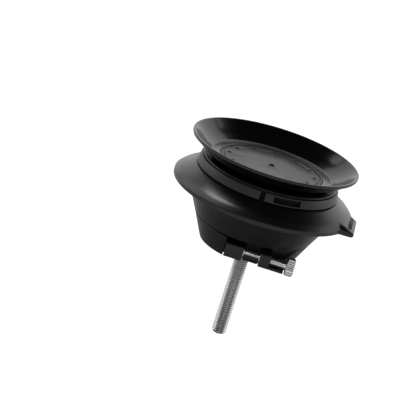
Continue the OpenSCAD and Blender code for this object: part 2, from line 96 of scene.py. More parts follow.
def reach(node):
    """Largest distance of a node's mesh from the Z axis."""
    mesh = frame["nodes"][node].data
    points = np.empty(len(mesh.vertices) * 3)
    mesh.vertices.foreach_get("co", points)
    return float(np.hypot(*points.reshape(-1, 3)[:, :2].T).max())


def joint(name):
    """The record's entry of one joint."""
    return next(j for j in frame["joints"] if j["name"] == name)


class MountLooks(bpy.types.PropertyGroup):
    """Colours and finishes of the mount."""

    plastic_colour: bpy.props.FloatVectorProperty(
        name="Plastic", description="Colour of the moulded black pieces", subtype="COLOR",
        size=3, min=0, max=1, default=(0.0085, 0.0085, 0.009))
    ring_colour: bpy.props.FloatVectorProperty(
        name="Ring", description="Colour of the release ring", subtype="COLOR",
        size=3, min=0, max=1, default=(0.006, 0.006, 0.0064))
    rubber_colour: bpy.props.FloatVectorProperty(
        name="Rubber", description="Colour of the suction cup", subtype="COLOR",
        size=3, min=0, max=1, default=(0.003, 0.003, 0.0032))
    steel_colour: bpy.props.FloatVectorProperty(
        name="Steel", description="Colour of the bolt and the screws", subtype="COLOR",
        size=3, min=0, max=1, default=(0.62, 0.62, 0.63))
    grain_size: bpy.props.FloatProperty(
        name="Grain", description="Size of the moulding grain", unit="LENGTH", default=0.00028)


class MountShapes(bpy.types.PropertyGroup):
    """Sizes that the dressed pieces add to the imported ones."""

    lip_round: bpy.props.FloatProperty(
        name="Lip", description="Radius of the cup's rounded lip", unit="LENGTH", default=0.00045)
    bolt_pitch: bpy.props.FloatProperty(
        name="Bolt pitch", description="Pitch of the cap bolt's thread", unit="LENGTH", default=0.0008)
    screw_pitch: bpy.props.FloatProperty(
        name="Screw pitch", description="Pitch of the clamp screw's thread", unit="LENGTH", default=0.0005)
    knurl_count: bpy.props.IntProperty(
        name="Knurls", description="Ridges round the clamp screw's head", default=30)
    edge_round: bpy.props.FloatProperty(
        name="Edges", description="Rounding of moulded edges", unit="LENGTH", default=0.00015)
    mark_count: bpy.props.IntProperty(
        name="Grip marks", description="Raised marks on the thumb tab", default=5)
    tab_way: bpy.props.FloatProperty(
        name="Tab direction", description="Direction that the tab's straight tip faces", subtype="ANGLE",
        default=math.radians(-3))
    tab_from: bpy.props.FloatProperty(
        name="Tab start", description="Angle of the tab's near corner", subtype="ANGLE",
        default=math.radians(-22.2))
    tab_to: bpy.props.FloatProperty(
        name="Tab end", description="Angle of the tab's far corner", subtype="ANGLE",
        default=math.radians(0.2))


class MountStudio(bpy.types.PropertyGroup):
    """Camera, lamps and floor."""

    azimuth: bpy.props.FloatProperty(
        name="Azimuth", description="Camera's turn from the front", subtype="ANGLE",
        default=math.radians(2.3))
    elevation: bpy.props.FloatProperty(
        name="Elevation", description="Camera's angle above the horizon", subtype="ANGLE",
        default=math.radians(19.41))
    roll: bpy.props.FloatProperty(
        name="Roll", description="Camera's turn about its own axis", subtype="ANGLE",
        default=math.radians(16.99))
    distance: bpy.props.FloatProperty(
        name="Distance", description="Depth from the camera to the aim point", unit="LENGTH", default=0.40718)
    focal_px: bpy.props.FloatProperty(
        name="Focal", description="Focal length in pixels of a 400 pixel frame", default=1238.8)
    aim_px: bpy.props.FloatVectorProperty(
        name="Aim", description="Pixel that shows the aim point", size=2, default=(263.33, 191.45))
    aim_height: bpy.props.FloatProperty(
        name="Aim height", description="Height of the aim point on the axis", unit="LENGTH", default=0.020)
    lamp_level: bpy.props.FloatProperty(
        name="Lamps", description="Strength that scales every lamp", default=1.0)


def looks():
    """The scene's colours and finishes."""
    return bpy.context.scene.mount_looks


def shapes():
    """The scene's added sizes."""
    return bpy.context.scene.mount_shapes


def studio():
    """The scene's camera and lamp values."""
    return bpy.context.scene.mount_studio


# Surfaces


def rounded(corners, steps):
    """Outline through corners (r, z, radius), each corner replaced by a parabola tangent to both its edges.

    Two support points near the ends of each straight stretch keep its shading flat.
    Point of the arc at t: (1-t)^2 start + 2t(1-t) corner + t^2 end.
    """
    spots = np.array([c[:2] for c in corners], float)
    radii = np.array([c[2] for c in corners], float)
    before, after = np.roll(spots, 1, 0), np.roll(spots, -1, 0)
    length_in = np.linalg.norm(spots - before, axis=1)
    length_out = np.linalg.norm(after - spots, axis=1)
    cut = np.minimum(radii, 0.45 * np.minimum(length_in, length_out))[:, None]
    start = spots + (before - spots) / length_in[:, None] * cut
    end = spots + (after - spots) / length_out[:, None] * cut
    t = np.linspace(0, 1, steps + 1)[None, :, None]
    arcs = (1 - t) ** 2 * start[:, None] + 2 * t * (1 - t) * spots[:, None] + t ** 2 * end[:, None]
    following = np.roll(start, -1, 0)
    near = end + (following - end) * 0.06
    far = end + (following - end) * 0.94
    return np.concatenate([arcs, near[:, None], far[:, None]], axis=1).reshape(-1, 2)


def grid_object(name, points, close_rows=True, close_columns=True):
    """Mesh over a grid of points (rows, columns, 3), closed round either way, with poles and seams merged."""
    rows, columns = points.shape[:2]
    row = np.arange(rows if close_rows else rows - 1)
    column = np.arange(columns if close_columns else columns - 1)
    i, j = (a.ravel() for a in np.meshgrid(row, column, indexing="ij"))
    i_next, j_next = (i + 1) % rows, (j + 1) % columns
    faces = np.stack([i * columns + j, i_next * columns + j,
                      i_next * columns + j_next, i * columns + j_next], axis=1)
    mesh = bpy.data.meshes.new(name)
    mesh.from_pydata(points.reshape(-1, 3).tolist(), [], faces.tolist())
    shell = bmesh.new()
    shell.from_mesh(mesh)
    bmesh.ops.remove_doubles(shell, verts=shell.verts, dist=1e-7)
    bmesh.ops.recalc_face_normals(shell, faces=shell.faces)
    shell.to_mesh(mesh)
    shell.free()
    mesh.shade_smooth()
    piece = bpy.data.objects.new(name, mesh)
    bpy.context.scene.collection.objects.link(piece)
    return piece


def turned(name, radius, height, angles, closed_outline=True):
    """Surface of revolution about Z: point = (r cos a, r sin a, z).

    r and z are given for each outline point and angle.
    """
    radius, height = np.broadcast_arrays(radius, height)
    points = np.stack([radius * np.cos(angles), radius * np.sin(angles),
                       np.broadcast_to(height, radius.shape)], axis=-1)
    return grid_object(name, points, close_rows=closed_outline)


def turned_outline(name, corners, segments, steps):
    """A rounded outline turned about Z."""
    outline = rounded(corners, steps)
    angles = np.linspace(0, 2 * math.pi, segments, endpoint=False)[None, :]
    return turned(name, outline[:, :1] * np.ones_like(angles), outline[:, 1:] * np.ones_like(angles), angles)


def soft_step(x):
    """0 below 0, 1 above 1 and 3x^2 - 2x^3 between."""
    x = np.clip(x, 0, 1)
    return x * x * (3 - 2 * x)


def rounded_copy(node, width, choose=None):
    """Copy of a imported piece: triangles merged into flat faces, and the chosen sharp edges bevelled by width.

    An edge is sharp above 30 degrees. choose takes the middle points of the sharp edges (count, 3) and
    gives a mask.
    """
    sharp = math.radians(30)
    mesh = frame["nodes"][node].data.copy()
    shell = bmesh.new()
    shell.from_mesh(mesh)
    bmesh.ops.remove_doubles(shell, verts=shell.verts, dist=2e-6)
    bmesh.ops.dissolve_limit(shell, angle_limit=math.radians(0.6), verts=shell.verts, edges=shell.edges)
    edges = [e for e in shell.edges if len(e.link_faces) == 2 and e.calc_face_angle() > sharp]
    if choose is not None and edges:
        middles = np.array([(e.verts[0].co + e.verts[1].co) / 2 for e in edges])
        edges = [e for e, wanted in zip(edges, choose(middles)) if wanted]
    if edges:
        bmesh.ops.bevel(shell, geom=edges, offset=width, offset_type="OFFSET", segments=3, profile=0.5,
                        affect="EDGES", clamp_overlap=False, material=-1)
    bmesh.ops.triangulate(shell, faces=[f for f in shell.faces if len(f.verts) > 4])
    shell.to_mesh(mesh)
    shell.free()
    mesh.shade_smooth()
    mesh.set_sharp_from_angle(angle=sharp)
    piece = bpy.data.objects.new(node + "_finished", mesh)
    bpy.context.scene.collection.objects.link(piece)
    return piece


def widen_split(piece):
    """Moves the ends of a split band apart round the Z axis, each by up to 0.3 mm, less away from the split.

    The split is the widest step between the angles of the band's points; the move fades over five degrees.
    """
    opening, fade_over = 0.3 * MM, math.radians(5)
    mesh = piece.data
    points = np.empty(len(mesh.vertices) * 3)
    mesh.vertices.foreach_get("co", points)
    points = points.reshape(-1, 3)
    angle = np.arctan2(points[:, 1], points[:, 0])
    radius = np.hypot(points[:, 0], points[:, 1])
    ordered = np.sort(angle)
    widest = int(np.argmax(np.diff(ordered)))
    split = (ordered[widest] + ordered[widest + 1]) / 2
    off = (angle - split + math.pi) % (2 * math.pi) - math.pi
    fade = soft_step(1 - np.abs(off) / fade_over)
    angle = angle + np.sign(off) * fade * opening / radius
    points[:, 0], points[:, 1] = radius * np.cos(angle), radius * np.sin(angle)
    mesh.vertices.foreach_set("co", points.ravel())


# Materials


def link(tree, source, target):
    """Joins two sockets of a tree."""
    tree.links.new(source, target)


def node_of(tree, kind, **values):
    """New shader node with its attributes set."""
    made = tree.nodes.new(kind)
    for key, value in values.items():
        setattr(made, key, value)
    return made


def float_group(name, inputs, outputs):
    """Empty node group with number sockets; inputs gives each input's value. Returns it and its end nodes."""
    group = bpy.data.node_groups.new(name, "ShaderNodeTree")
    for label, value in inputs.items():
        socket = group.interface.new_socket(label, in_out="INPUT", socket_type="NodeSocketFloat")
        socket.default_value = value
    for label in outputs:
        group.interface.new_socket(label, in_out="OUTPUT", socket_type="NodeSocketFloat")
    return group, group.nodes.new("NodeGroupInput"), group.nodes.new("NodeGroupOutput")


def grain_group():
    """Node group: moulding grain, a height that varies finely and a mask that varies over centimetres."""
    name = "moulding_grain"
    if name in bpy.data.node_groups:
        return bpy.data.node_groups[name]
    group, given, result = float_group(name, {"Size": 0.0003, "Detail": 2.0}, ("Height", "Mask"))
    place = group.nodes.new("ShaderNodeTexCoord")
    inverse = node_of(group, "ShaderNodeMath", operation="DIVIDE")
    inverse.inputs[0].default_value = 1.0
    link(group, given.outputs["Size"], inverse.inputs[1])
    fine = node_of(group, "ShaderNodeTexNoise", noise_dimensions="3D")
    link(group, place.outputs["Object"], fine.inputs["Vector"])
    link(group, inverse.outputs[0], fine.inputs["Scale"])
    link(group, given.outputs["Detail"], fine.inputs["Detail"])
    slow = node_of(group, "ShaderNodeTexNoise", noise_dimensions="3D")
    slow.inputs["Scale"].default_value = 90.0
    slow.inputs["Detail"].default_value = 4.0
    link(group, place.outputs["Object"], slow.inputs["Vector"])
    link(group, fine.outputs["Fac"], result.inputs["Height"])
    link(group, slow.outputs["Fac"], result.inputs["Mask"])
    return group


def edge_group():
    """Node group: how much of an edge a point is on, from the mesh's own pointiness."""
    name = "edge_wear"
    if name in bpy.data.node_groups:
        return bpy.data.node_groups[name]
    group, given, result = float_group(name, {"Amount": 1.0}, ("Edge",))
    shape = group.nodes.new("ShaderNodeNewGeometry")
    spread = node_of(group, "ShaderNodeMapRange", clamp=True)
    spread.inputs["From Min"].default_value = 0.52
    spread.inputs["From Max"].default_value = 0.62
    link(group, shape.outputs["Pointiness"], spread.inputs["Value"])
    scaled = node_of(group, "ShaderNodeMath", operation="MULTIPLY")
    link(group, spread.outputs["Result"], scaled.inputs[0])
    link(group, given.outputs["Amount"], scaled.inputs[1])
    link(group, scaled.outputs[0], result.inputs["Edge"])
    return group


def recess_group():
    """Node group: 1 inside a ring-shaped recess round Z, between two heights and inside a radius, else 0."""
    name = "ring_recess"
    if name in bpy.data.node_groups:
        return bpy.data.node_groups[name]
    group, given, result = float_group(name, {"Low": 0.0, "High": 0.0, "Radius": 0.0}, ("Inside",))
    place = group.nodes.new("ShaderNodeTexCoord")
    parts = group.nodes.new("ShaderNodeSeparateXYZ")
    link(group, place.outputs["Object"], parts.inputs[0])
    flat = node_of(group, "ShaderNodeVectorMath", operation="MULTIPLY")
    flat.inputs[1].default_value = (1, 1, 0)
    link(group, place.outputs["Object"], flat.inputs[0])
    off = node_of(group, "ShaderNodeVectorMath", operation="LENGTH")
    link(group, flat.outputs[0], off.inputs[0])
    tests = []
    for kind, value, limit in (("GREATER_THAN", parts.outputs["Z"], "Low"),
                               ("LESS_THAN", parts.outputs["Z"], "High"),
                               ("LESS_THAN", off.outputs["Value"], "Radius")):
        test = node_of(group, "ShaderNodeMath", operation=kind)
        link(group, value, test.inputs[0])
        link(group, given.outputs[limit], test.inputs[1])
        tests.append(test)
    both = node_of(group, "ShaderNodeMath", operation="MULTIPLY")
    link(group, tests[0].outputs[0], both.inputs[0])
    link(group, tests[1].outputs[0], both.inputs[1])
    every = node_of(group, "ShaderNodeMath", operation="MULTIPLY")
    link(group, both.outputs[0], every.inputs[0])
    link(group, tests[2].outputs[0], every.inputs[1])
    link(group, every.outputs[0], result.inputs["Inside"])
    return group


def paint_recess_shade(material, low, high, radius):
    """Paints shade into a moulded material inside a recess: a nearly black colour and full roughness there."""
    tree = material.node_tree
    shader = tree.nodes["Principled BSDF"]
    mask = node_of(tree, "ShaderNodeGroup", node_tree=recess_group())
    for label, value in (("Low", low), ("High", high), ("Radius", radius)):
        mask.inputs[label].default_value = value
    tint = node_of(tree, "ShaderNodeMix", data_type="RGBA")
    # painted shade: the nearly black colour inside the recess stands in for the shade there
    tint.inputs["B"].default_value = (0.0008, 0.0008, 0.0008, 1)
    link(tree, shader.inputs["Base Color"].links[0].from_socket, tint.inputs["A"])
    link(tree, mask.outputs["Inside"], tint.inputs["Factor"])
    link(tree, tint.outputs["Result"], shader.inputs["Base Color"])
    rough = node_of(tree, "ShaderNodeMath", operation="MAXIMUM")
    link(tree, shader.inputs["Roughness"].links[0].from_socket, rough.inputs[0])
    link(tree, mask.outputs["Inside"], rough.inputs[1])
    link(tree, rough.outputs[0], shader.inputs["Roughness"])


def moulded(name, colour, roughness, grain, bump, spread=0.06, wear=0.35):
    """Moulded plastic or rubber: fine grain in the bump, slow changes of roughness, paler on edges."""
    material = bpy.data.materials.new(name)
    material.use_nodes = True
    tree = material.node_tree
    shader = tree.nodes["Principled BSDF"]
    grains = node_of(tree, "ShaderNodeGroup", node_tree=grain_group())
    grains.inputs["Size"].default_value = grain
    edges = node_of(tree, "ShaderNodeGroup", node_tree=edge_group())
    edges.inputs["Amount"].default_value = wear
    tint = node_of(tree, "ShaderNodeMix", data_type="RGBA")
    tint.inputs["A"].default_value = (*colour, 1)
    tint.inputs["B"].default_value = (*[min(1, c * 3 + 0.012) for c in colour], 1)
    link(tree, edges.outputs["Edge"], tint.inputs["Factor"])
    vary = node_of(tree, "ShaderNodeMix", data_type="RGBA", blend_type="MULTIPLY")
    vary.inputs["Factor"].default_value = 0.35
    link(tree, tint.outputs["Result"], vary.inputs["A"])
    shade = node_of(tree, "ShaderNodeMapRange")
    shade.inputs["To Min"].default_value = 0.75
    shade.inputs["To Max"].default_value = 1.2
    link(tree, grains.outputs["Mask"], shade.inputs["Value"])
    link(tree, shade.outputs["Result"], vary.inputs["B"])
    link(tree, vary.outputs["Result"], shader.inputs["Base Color"])
    rough = node_of(tree, "ShaderNodeMapRange")
    rough.inputs["To Min"].default_value = roughness - spread
    rough.inputs["To Max"].default_value = roughness + spread
    link(tree, grains.outputs["Mask"], rough.inputs["Value"])
    link(tree, rough.outputs["Result"], shader.inputs["Roughness"])
    relief = node_of(tree, "ShaderNodeBump")
    relief.inputs["Strength"].default_value = 1.0
    relief.inputs["Distance"].default_value = bump
    link(tree, grains.outputs["Height"], relief.inputs["Height"])
    link(tree, relief.outputs["Normal"], shader.inputs["Normal"])
    return material


def metal(name, colour, roughness, streak=(1, 1, 1)):
    """Bare metal with fine streaks stretched along one axis and a slow change of roughness."""
    spread = 0.08
    material = bpy.data.materials.new(name)
    material.use_nodes = True
    tree = material.node_tree
    shader = tree.nodes["Principled BSDF"]
    shader.inputs["Metallic"].default_value = 1.0
    place = tree.nodes.new("ShaderNodeTexCoord")
    turn = tree.nodes.new("ShaderNodeMapping")
    turn.inputs["Scale"].default_value = streak
    link(tree, place.outputs["Object"], turn.inputs["Vector"])
    lines = node_of(tree, "ShaderNodeTexNoise", noise_dimensions="3D")
    lines.inputs["Scale"].default_value = 2500.0
    lines.inputs["Detail"].default_value = 3.0
    link(tree, turn.outputs["Vector"], lines.inputs["Vector"])
    grains = node_of(tree, "ShaderNodeGroup", node_tree=grain_group())
    tint = node_of(tree, "ShaderNodeMix", data_type="RGBA")
    tint.inputs["A"].default_value = (*[c * 0.82 for c in colour], 1)
    tint.inputs["B"].default_value = (*colour, 1)
    link(tree, lines.outputs["Fac"], tint.inputs["Factor"])
    link(tree, tint.outputs["Result"], shader.inputs["Base Color"])
    rough = node_of(tree, "ShaderNodeMapRange")
    rough.inputs["To Min"].default_value = roughness - spread
    rough.inputs["To Max"].default_value = roughness + spread
    link(tree, grains.outputs["Mask"], rough.inputs["Value"])
    link(tree, rough.outputs["Result"], shader.inputs["Roughness"])
    relief = node_of(tree, "ShaderNodeBump")
    relief.inputs["Distance"].default_value = 0.004 * MM
    link(tree, lines.outputs["Fac"], relief.inputs["Height"])
    link(tree, relief.outputs["Normal"], shader.inputs["Normal"])
    return material


def cup_rubber():
    """The smooth, slightly glossy rubber of the cup."""
    return moulded("cup_rubber", looks().rubber_colour, 0.15, 0.0005, 0.002 * MM, spread=0.03, wear=0.1)


def satin_plastic(name, roughness, paler=1.0):
    """The black moulding of the housing, base cap, collar and band; paler scales its colour."""
    colour = [c * paler for c in looks().plastic_colour]
    return moulded(name, colour, roughness, looks().grain_size, 0.012 * MM)


def paint(piece, material):
    """The piece's only material."""
    piece.data.materials.clear()
    piece.data.materials.append(material)


def dress(piece, body, slot, material, *nodes):
    """Rides the piece on its body, gives it its material and hides the nodes that it stands for; slot is not
    used.
    """
    paint(piece, material)
    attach(piece, body)
    if nodes:
        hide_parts(*nodes)
    return piece


class MOUNT_OT_suction_cup(bpy.types.Operator):
    """Turns the rubber cup: a flat floor, a flared wall with a round lip and two shallow steps underneath"""

    bl_idname = "mount.suction_cup"
    bl_label = "Suction cup"

    def execute(self, context):
        rim_r, rim_z = reach("suction_cup"), top("suction_cup")
        floor_z, flange_z = top("centre_plate"), bottom("suction_cup")
        plate_r, plate_z = reach("centre_plate"), bottom("centre_plate")
        neck_wall, flange_width, plate_gap = 1.5 * MM, 3.4 * MM, 0.16 * MM
        neck_r, flange_in, seat_r = plate_r + neck_wall, plate_r - flange_width, plate_r + plate_gap
        lip = shapes().lip_round
        collar_z = top("collar")
        corners = [
            # flange under the plate, and the plate's seat
            (flange_in, flange_z, 0.1 * MM), (flange_in, plate_z, 0.1 * MM),
            (seat_r, plate_z, 0.05 * MM), (seat_r, floor_z, 0.25 * MM),
            # wall up to the lip
            (rim_r - 7.6 * MM, floor_z, 0.5 * MM), (rim_r - 4.3 * MM, floor_z + 1.9 * MM, 2.2 * MM),
            (rim_r - 0.75 * MM, rim_z - 0.03 * MM, 0.25 * MM), (rim_r - 0.02 * MM, rim_z, lip),
            (rim_r, rim_z - 0.95 * MM, lip),
            # underside with its two steps, and the neck
            (rim_r - 2.6 * MM, rim_z - 2.6 * MM, 0.35 * MM), (rim_r - 2.9 * MM, rim_z - 3.15 * MM, 0.3 * MM),
            (rim_r - 4.5 * MM, rim_z - 3.85 * MM, 0.35 * MM), (rim_r - 4.8 * MM, rim_z - 4.4 * MM, 0.3 * MM),
            (rim_r - 8.3 * MM, collar_z + 0.5 * MM, 0.5 * MM),
            (neck_r, collar_z + 0.1 * MM, 0.3 * MM), (neck_r, flange_z, 0.2 * MM),
        ]
        cup = turned_outline("suction_cup_skin", corners, segments=320, steps=8)
        dress(cup, "head", "cup_rubber", cup_rubber(), "suction_cup")
        # the two small lamps leave the mirror-like cup dark
        unlit = bpy.data.collections.new("lamps_leave_out")
        unlit.objects.link(cup)
        unlit.collection_objects[0].light_linking.link_state = "EXCLUDE"
        for lamp in ("key", "strip"):
            bpy.data.objects[lamp].light_linking.receiver_collection = unlit
        return {"FINISHED"}


class MOUNT_OT_release_ring(bpy.types.Operator):
    """Turns the release ring; its section swells into the thumb tab round the tab's direction"""

    bl_idname = "mount.release_ring"
    bl_label = "Release ring"

    def execute(self, context):
        low, high = bottom("release_ring"), top("release_ring")
        collar_gap, sleeve_wall, edge_height = 0.15 * MM, 1.25 * MM, 1.7 * MM
        bore = reach("collar") + collar_gap
        sleeve = bore + sleeve_wall
        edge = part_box("release_ring")[1].y
        edge_z = low + edge_height
        drop = high - edge_z

        def section(rim, rim_top, shoulder):
            """Corners of the ring's section, from the bore up, over the dome, round the rim and back."""
            return [
                (bore, low + 0.02 * MM, 0.15 * MM), (bore, high, 0.25 * MM),
                (sleeve - 0.3 * MM, high, 0.4 * MM),
                (sleeve + 1.4 * MM, high - 0.25 * drop, 1.2 * MM),
                (shoulder, high - 0.66 * drop, 1.2 * MM),
                (rim - 0.15 * MM, rim_top, 0.18 * MM),
                (rim, rim_top - 0.22 * MM, 0.18 * MM), (rim, low + 0.25 * MM, 0.2 * MM),
                (rim - 0.3 * MM, low, 0.15 * MM),
                (edge - 1.4 * MM, low, 0.1 * MM), (edge - 1.5 * MM, low + 1.2 * MM, 0.4 * MM),
                (sleeve + 0.5 * MM, high - 2.2 * MM, 0.5 * MM), (sleeve, low + 0.05 * MM, 0.1 * MM),
            ]

        # the tip is straight, at right angles to tip_way: its radius is tip_line / cos(angle - tip_way)
        segments, arc_steps, tip_samples = 720, 7, 9
        angles = np.linspace(-math.pi, math.pi, segments, endpoint=False)
        tip_way = shapes().tab_way
        tip_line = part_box("release_ring")[1].x - 0.02 * MM
        tab_from, tab_to = shapes().tab_from, shapes().tab_to
        near, far = math.radians(5.5), math.radians(2.5)  # how far the tab's two sides run out
        weight = soft_step((angles - tab_from + near) / near) * soft_step((tab_to + far - angles) / far)
        tips = tip_line / np.cos(np.clip(angles, tab_from - near, tab_to + far) - tip_way)
        shoulder, tip_height = sleeve + 4.2 * MM, 1.35 * MM
        plain = rounded(section(edge, edge_z, shoulder), arc_steps)
        tabbed = np.stack([rounded(section(t, low + tip_height, shoulder), arc_steps)
                           for t in np.linspace(tips.min(), tips.max(), tip_samples)])
        step = (tips - tips.min()) / (tips.max() - tips.min()) * (tip_samples - 1)
        lower = np.minimum(step.astype(int), tip_samples - 2)
        part = (step - lower)[:, None, None]
        tabbed = tabbed[lower] * (1 - part) + tabbed[lower + 1] * part
        share = weight[None, :, None]
        outline = plain[:, None] * (1 - share) + tabbed.transpose(1, 0, 2) * share
        ring = turned("release_ring_skin", outline[..., 0], outline[..., 1], angles[None, :])
        material = moulded("ring_plastic", looks().ring_colour, 0.29, looks().grain_size, 0.004 * MM,
                           spread=0.04, wear=0.3)
        dress(ring, "release_ring", "ring_plastic", material, "release_ring")

        # raised grip marks: blunt bars that lie side by side on the tab's slope
        count = shapes().mark_count
        bands, sides = 13, 20
        u = np.linspace(0, math.pi, bands)[:, None]
        v = np.linspace(0, 2 * math.pi, sides, endpoint=False)[None, :]
        length, width, height, spacing = 0.85 * MM, 0.32 * MM, 0.16 * MM, 2.1 * MM
        inset, rise, slope = 1.75 * MM, 2.24 * MM, math.radians(27)
        blunt = np.sign(np.cos(u)) * np.abs(np.cos(u)) ** 0.7
        one = np.stack([np.broadcast_to(length * blunt, (bands, sides)),
                        width * np.sin(u) * np.cos(v), height * np.sin(u) * np.sin(v)], axis=-1)
        facing = Matrix.Rotation(tip_way, 3, "Z")
        turn = facing @ Matrix.Rotation(slope, 3, "Y")
        middle = tip_line * math.tan((tab_from + tab_to) / 2 - tip_way)
        bars = []
        for k in range(count):
            across = (k - (count - 1) / 2) * spacing
            centre = facing @ Vector((tip_line - inset, middle + across, low + rise))
            placed = one @ np.array(turn).T + np.array(centre)
            bars.append(grid_object(f"bar_{k}", placed, close_rows=False))
        with context.temp_override(active_object=bars[0], object=bars[0], selected_objects=bars,
                                   selected_editable_objects=bars):
            bpy.ops.object.join()
        bars[0].name = "tab_grip_marks"
        dress(bars[0], "release_ring", "ring_plastic",
              moulded("grip_marks", (0.05, 0.05, 0.05), 0.4, looks().grain_size, 0.004 * MM))
        return {"FINISHED"}


class MOUNT_OT_mouldings(bpy.types.Operator):
    """Finishes the housing, base cap, collar, band and centre plate: moulded grain and rounded edges"""

    bl_idname = "mount.mouldings"
    bl_label = "Mouldings"

    def execute(self, context):
        edge = shapes().edge_round
        hinge = Vector(joint("head_fold")["pos_m"])
        bore = reach("bolt_washer") - 2 * MM
        rim = reach("retaining_band") - 1.6 * MM
        skirt_r, skirt_top, leg_top = 19.9 * MM, 9 * MM, 7 * MM
        band_depth, band_tint = 0.3 * MM, 2.6

        def away(middles, low):
            return np.hypot(middles[:, 0], middles[:, 1]) > low

        def off_hinge(middles):
            return np.hypot(middles[:, 1] - hinge.y, middles[:, 2] - hinge.z) > 1.8 * MM

        pieces = (
            ("housing", "head", "housing_plastic", 0.36, edge,
             lambda m: away(m, skirt_r) & (m[:, 2] < skirt_top) | off_hinge(m) & (m[:, 2] < leg_top)),
            ("base_cap", "base", "base_plastic", 0.38, edge, lambda m: away(m, bore) & off_hinge(m)),
            ("collar", "head", "collar_plastic", 0.34, edge * 0.5,
             lambda m: away(m, rim) & (m[:, 2] > bottom("retaining_band"))),
            ("retaining_band", "head", "band_plastic", 0.36, edge * 0.6, None),
            ("centre_plate", "head", "plate_plastic", 0.34, edge * 0.4,
             lambda m: m[:, 2] > top("centre_plate") - MM),
        )
        for node, body, slot, roughness, width, choose in pieces:
            piece = rounded_copy(node, width, choose)
            if node == "retaining_band":
                widen_split(piece)
            paler = band_tint if node == "retaining_band" else 1.0
            material = satin_plastic(slot, roughness, paler=paler)
            if node == "collar":
                # painted shade: the collar's groove behind the band is painted nearly black
                paint_recess_shade(material, bottom("retaining_band"), top("retaining_band"),
                              reach("retaining_band") - band_depth)
            dress(piece, body, slot, material, node)
        return {"FINISHED"}


def threaded_radius(angle, along, crest, pitch, depth):
    """Radius of a thread: crest - depth * triangle wave of (along / pitch - angle / 2 pi).

    The wave is cut off above and below, which leaves flats at crest and root.
    """
    phase = (along / pitch - angle / (2 * math.pi)) % 1.0
    wave = np.clip(np.abs(phase - 0.5) * 2 * 1.35 - 0.12, 0, 1)
    return crest - depth * wave


def hexagon(angles, inner):
    """Radius of a hexagon with its flats at inner: inner / cos(angle from the nearest flat's middle)."""
    return inner / np.cos((angles + math.pi / 6) % (math.pi / 3) - math.pi / 6)


class MOUNT_OT_cap_bolt(bpy.types.Operator):
    """Turns the long cap bolt with its thread and its socket head"""

    bl_idname = "mount.cap_bolt"
    bl_label = "Cap bolt"

    def execute(self, context):
        low, high = bottom("cap_bolt"), top("cap_bolt")
        crest, head_r, head_h = 2.5 * MM, reach("cap_bolt"), 5 * MM
        pitch, depth, thread_top = shapes().bolt_pitch, 0.42 * MM, -0.4 * MM
        angles = np.linspace(0, 2 * math.pi, 48, endpoint=False)[None, :]
        heights = np.arange(low + 0.6 * MM, thread_top, pitch / 10)[:, None]
        fade = soft_step((thread_top - heights) / pitch) * soft_step((heights - low) / pitch)
        thread_r = threaded_radius(angles, heights, crest, pitch, depth * fade)
        thread_z = np.broadcast_to(heights, thread_r.shape)
        head_z = high - head_h
        socket = hexagon(angles, 2.0 * MM)
        one = np.ones_like(angles)
        upper = [(crest - 0.05 * MM, 0.3 * MM), (crest - 0.05 * MM, head_z), (head_r, head_z),
                 (head_r, head_z + 0.2 * MM), (head_r, high - 0.4 * MM),
                 (head_r - 0.1 * MM, high - 0.12 * MM), (head_r - 0.4 * MM, high), (2.6 * MM, high)]
        rows_r = [0 * one, (crest - 0.75 * MM) * one, (crest - 0.5 * MM) * one, thread_r]
        rows_z = [low * one, low * one, (low + 0.15 * MM) * one, thread_z]
        rows_r += [r * one for r, z in upper] + [socket, socket, 0 * one]
        rows_z += [z * one for r, z in upper] + [(high - 0.2 * MM) * one, (high - 2.5 * MM) * one,
                                                 (high - 2.7 * MM) * one]
        bolt = turned("cap_bolt_skin", np.concatenate(rows_r), np.concatenate(rows_z), angles,
                      closed_outline=False)
        steel = metal("bolt_steel", looks().steel_colour, 0.2, streak=(1, 1, 0.15))
        dress(bolt, "base", "bolt_steel", steel, "cap_bolt")
        return {"FINISHED"}


